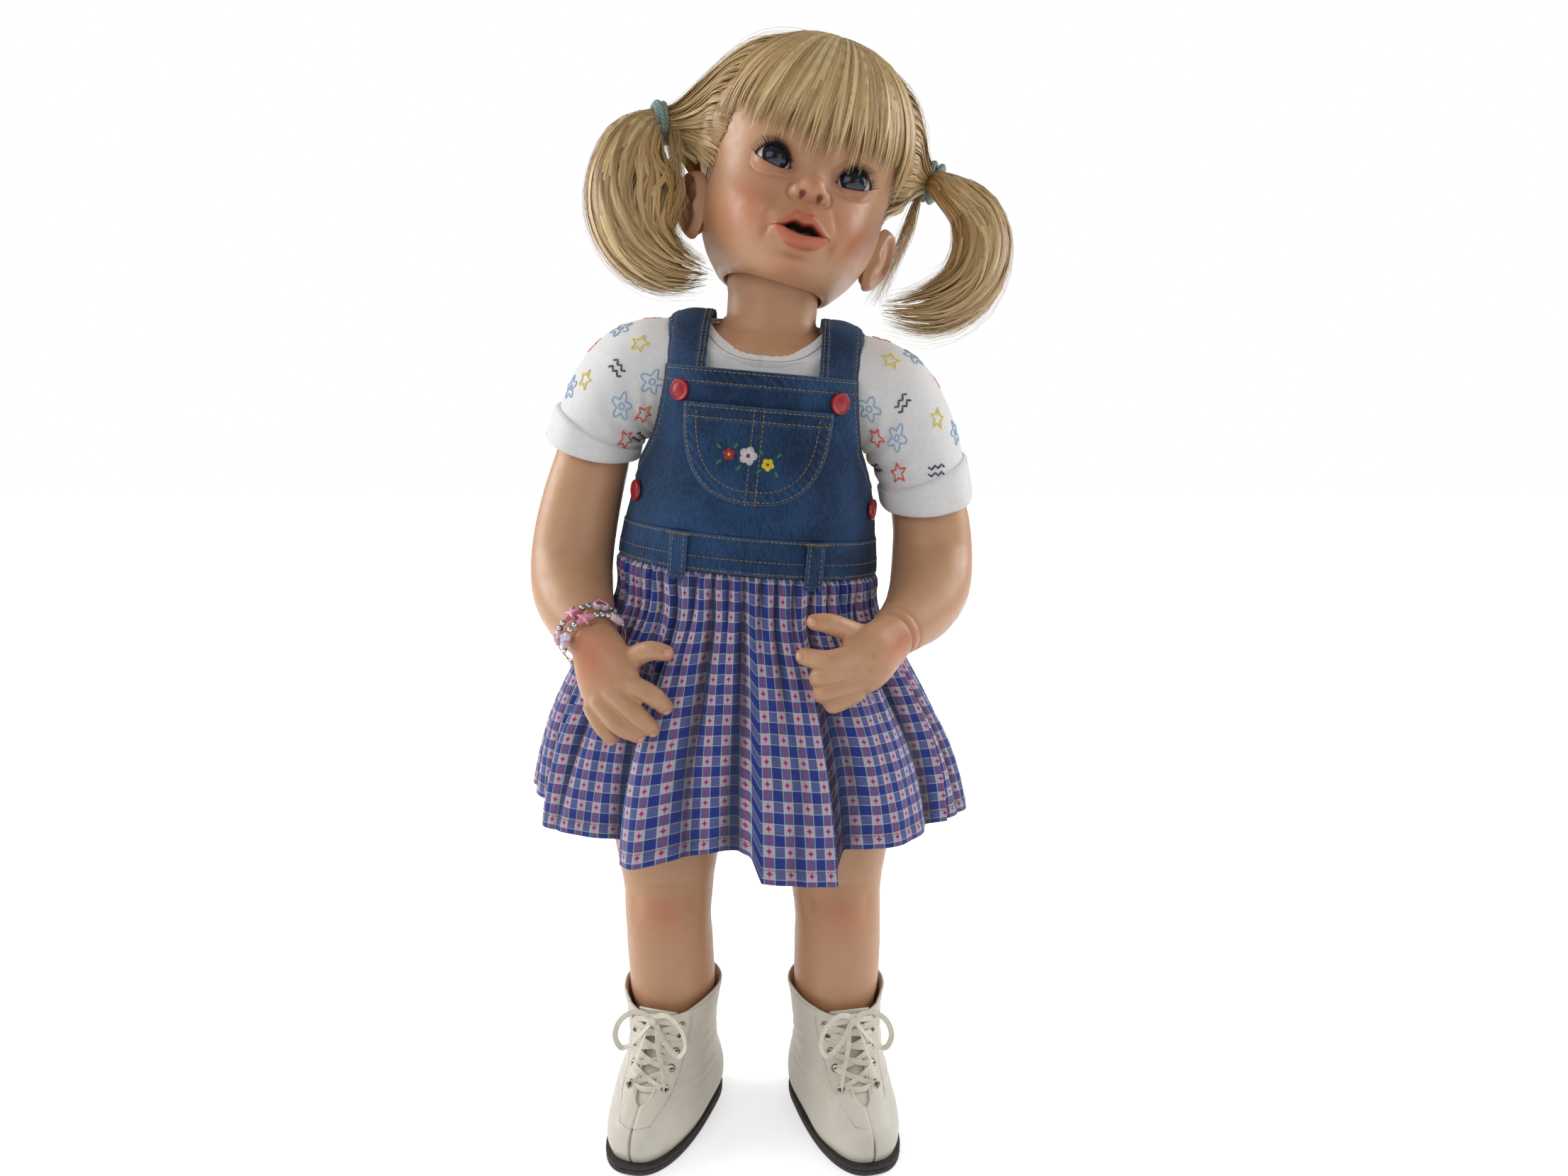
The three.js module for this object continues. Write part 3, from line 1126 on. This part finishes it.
function bootUpper() {
  const outer = BOOT_RINGS.map((ring) => bodyRing(ring, BOOT_COLUMNS));
  const inner = BOOT_RINGS.map((ring, i) => {
    const lift = i === 0 ? BOOT_WALL : 0;
    return bodyRing(offsetRing(raisedRing(ring, lift), -BOOT_WALL), BOOT_COLUMNS);
  }).reverse();
  const shell = loft([...outer, ...inner]);
  const slit = new THREE.BoxGeometry(THROAT_WIDTH, 80, 100);
  return combine(shell, [], [slit.translate(0, -60, THROAT_LOW + 50)]);
}

// Front of the boot at a height, for what lies in or on its throat
const bootFront = (z) => valueAt(BOOT_RINGS.map((ring) => [ring.zf, ring.f]), z);
const bootHalfWidth = (z) => valueAt(BOOT_RINGS.map((ring) => [ring.zf, ring.w]), z);
const bootSurface = (x, z, inset) => (
  -(bootFront(z) - inset) * Math.sqrt(1 - (x / (bootHalfWidth(z) - inset)) ** 2)
);

function bootTongue() {
  const heights = [THROAT_LOW - 6, 56, 68, 82, 96, 112];
  const columns = [-14, -7, 0, 7, 14].map((x) => {
    const along = (inset) => heights.map((z) => vec(x, bootSurface(x, z, inset), z));
    return { outer: along(BOOT_WALL + GAP * 8), inner: along(BOOT_WALL + GAP * 8 + 1.8) };
  });
  return panel(columns);
}

function bootSole() {
  const rows = [
    { w: 38, f: 109, b: 47, z: 0, n: 2.6 }, { w: 40, f: 112, b: 49, z: 3, n: 2.6 },
    { w: 40, f: 112, b: 49, z: SOLE_THICKNESS, n: 2.6 },
  ];
  return loft(rows.map((ring) => bodyRing(ring, BOOT_COLUMNS)));
}

function ribbon(points, width, thickness) {
  const path = points.map((p) => vec(...p));
  const rings = path.map((at, i) => {
    const next = path[Math.min(i + 1, path.length - 1)];
    const direction = next.clone().sub(path[Math.max(i - 1, 0)]).normalize();
    const outwards = vec(0, -1, 0.35).normalize();
    const across = direction.clone().cross(outwards).normalize().multiplyScalar(width / 2);
    const thick = outwards.clone().multiplyScalar(thickness / 2);
    return [[1, 1], [1, -1], [-1, -1], [-1, 1]].map(([a, b]) => (
      at.clone().addScaledVector(across, a).addScaledVector(thick, b)
    ));
  });
  return loft(rings);
}

function bootLace() {
  const eyelet = (k, side, layer) => {
    const z = lerp(LACE_LOW, LACE_HIGH, k / LACE_CROSSINGS);
    const x = (THROAT_WIDTH / 2 + 2) * (k % 2 === 0 ? side : -side);
    return [x, -(bootFront(z) + LACE_LIFT + layer), z];
  };
  const crossings = Array.from({ length: LACE_CROSSINGS + 1 }, (_, k) => k);
  const zigzag = (side, layer) => crossings.map((k) => eyelet(k, side, layer));
  const knotY = -(bootFront(LACE_HIGH) + 4);
  const knotZ = LACE_HIGH + 4;
  const knot = new THREE.BoxGeometry(9, 7, 13).translate(0, knotY, knotZ);
  const strands = [];
  for (const side of [-1, 1]) {
    const layer = side > 0 ? 0 : LACE_THICKNESS + 0.3;
    const foot = [0, -(bootFront(LACE_LOW - 4) + LACE_LIFT), LACE_LOW - 4];
    strands.push([foot, ...zigzag(side, layer), [0, knotY, knotZ]]);
    const out = (x, y, z) => [side * x, knotY + y, knotZ + z];
    const bow = [
      out(0, -1, 4), out(12, -3, 2), out(24, -5, -8), out(20, -5, -18), out(9, -4, -12), out(0, -1, -4),
    ];
    strands.push(bow);
    strands.push([out(1, -1.5, 0), out(8, -7, -14), out(12, -11, -32), out(13, -15, -46)]);
  }
  return combine(knot, strands.map((points) => ribbon(points, LACE_WIDTH, LACE_THICKNESS)));
}

// Bracelets: round beads and larger charms threaded on elastic round the right wrist
function bracelet(centre, direction, radius, phase) {
  const side = vec(1, 0, 0);
  const cord = pathRing(centre, direction, side, radius, radius, BRACELET_BEADS);
  const beads = cord.map((at, i) => ballAt(at, (i + phase) % 4 === 0 ? CHARM_RADIUS : BEAD_RADIUS, 4, 3));
  const cordRing = (r, along) => (
    pathRing(centre.clone().addScaledVector(direction, along), direction, side, r, r, BRACELET_BEADS)
  );
  const half = 0.5;
  const cordRings = [
    cordRing(radius - half, -half),
    cordRing(radius - half, half),
    cordRing(radius + half, 0),
  ];
  const elastic = loft(cordRings, { loop: true });
  return combine(elastic, beads);
}

for (const [name, side] of [['left', 1], ['right', -1]]) {
  const bootGroup = new THREE.Group();
  bootGroup.position.set(BOOT_MID_X + side * BOOT_X, 0, 0);
  bootGroup.rotation.z = rad(side * TOE_OUT);
  doll.add(bootGroup);
  addPiece(bootGroup, `boot_sole_${name}`, bootSole(), 'sole');
  addPiece(bootGroup, `boot_upper_${name}`, bootUpper(), 'boot');
  addPiece(bootGroup, `boot_tongue_${name}`, bootTongue(), 'boot');
  addPiece(bootGroup, `boot_lace_${name}`, bootLace(), 'lace');
}

const wristPath = ARM_ROUTE.right.slice(-2).map(([at]) => at);
const wristDirection = wristPath[1].clone().sub(wristPath[0]).normalize();
const braceletAt = (t) => wristPath[0].clone().lerp(wristPath[1], t);
addPiece(doll, 'bracelet_upper', bracelet(braceletAt(0.35), wristDirection, 26.9, 0), 'bead');
addPiece(doll, 'bracelet_lower', bracelet(braceletAt(1.05), wristDirection, 25.2, 2), 'bead');

export default doll;
